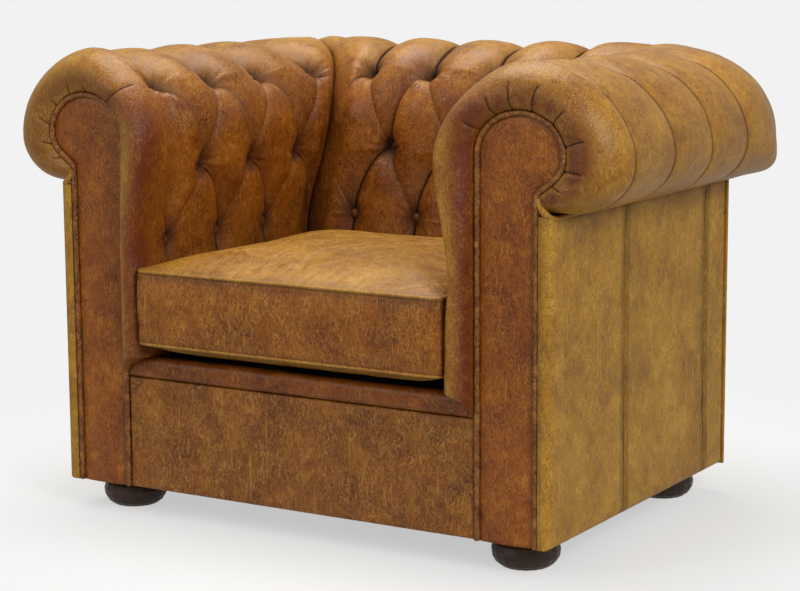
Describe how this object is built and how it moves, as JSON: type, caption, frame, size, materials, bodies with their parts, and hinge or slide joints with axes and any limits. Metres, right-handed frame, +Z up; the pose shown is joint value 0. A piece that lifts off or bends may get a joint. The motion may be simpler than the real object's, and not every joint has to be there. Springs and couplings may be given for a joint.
{
  "type": "deep-buttoned club chair",
  "caption": "Low club chair in worn tan leather with rolled arms and back, deep diamond buttoning, a loose boxed seat cushion, scroll facings and dark bun feet.",
  "frame": {"origin": "on the floor under the middle of the chair's box", "axes": "+Z up, the chair faces -Y, +X to the right of a viewer who stands in front of it"},
  "size_m": [1.045, 0.745, 0.7098],
  "materials": {
    "worn_tan_leather": "waxed tan leather, mottled and worn, satin",
    "piping_leather": "darker worn leather cord cover",
    "dark_foot_wood": "dark stained turned wood, satin",
    "frame_hardwood": "sawn hardwood, matt",
    "spring_steel": "drawn spring wire",
    "hessian": "coarse woven hessian",
    "grey_felt": "needled felt pad",
    "black_lining": "thin black lining cloth"
  },
  "bodies": {
    "root": {"arm_pad_left": "worn_tan_leather", "arm_pad_right": "worn_tan_leather", "back_pad": "worn_tan_leather", "arm_facing_left": "worn_tan_leather", "arm_facing_right": "worn_tan_leather", "outside_arm_left": "worn_tan_leather", "outside_arm_right": "worn_tan_leather", "outside_back": "worn_tan_leather", "front_border": "worn_tan_leather", "seat_lip": "worn_tan_leather", "seat_cushion": "worn_tan_leather", "facing_piping_left": "piping_leather", "facing_piping_right": "piping_leather", "foot_front_left": "dark_foot_wood", "foot_front_right": "dark_foot_wood", "foot_rear_left": "dark_foot_wood", "foot_rear_right": "dark_foot_wood", "front_rail": "frame_hardwood", "rear_rail": "frame_hardwood", "seat_side_rail_left": "frame_hardwood", "seat_side_rail_right": "frame_hardwood", "lower_side_rail_left": "frame_hardwood", "lower_side_rail_right": "frame_hardwood", "front_post_left": "frame_hardwood", "front_post_right": "frame_hardwood", "back_post_left": "frame_hardwood", "back_post_right": "frame_hardwood", "arm_top_rail_left": "frame_hardwood", "arm_top_rail_right": "frame_hardwood", "back_top_rail": "frame_hardwood", "arm_tack_rail_left": "frame_hardwood", "arm_tack_rail_right": "frame_hardwood", "back_tack_rail": "frame_hardwood", "corner_block_front_left": "frame_hardwood", "corner_block_front_right": "frame_hardwood", "corner_block_rear_left": "frame_hardwood", "corner_block_rear_right": "frame_hardwood", "seat_spring_1": "spring_steel", "seat_spring_2": "spring_steel", "seat_spring_3": "spring_steel", "seat_spring_4": "spring_steel", "seat_spring_5": "spring_steel", "deck_hessian": "hessian", "deck_pad": "grey_felt", "dust_cover": "black_lining"}
  },
  "joints": []
}
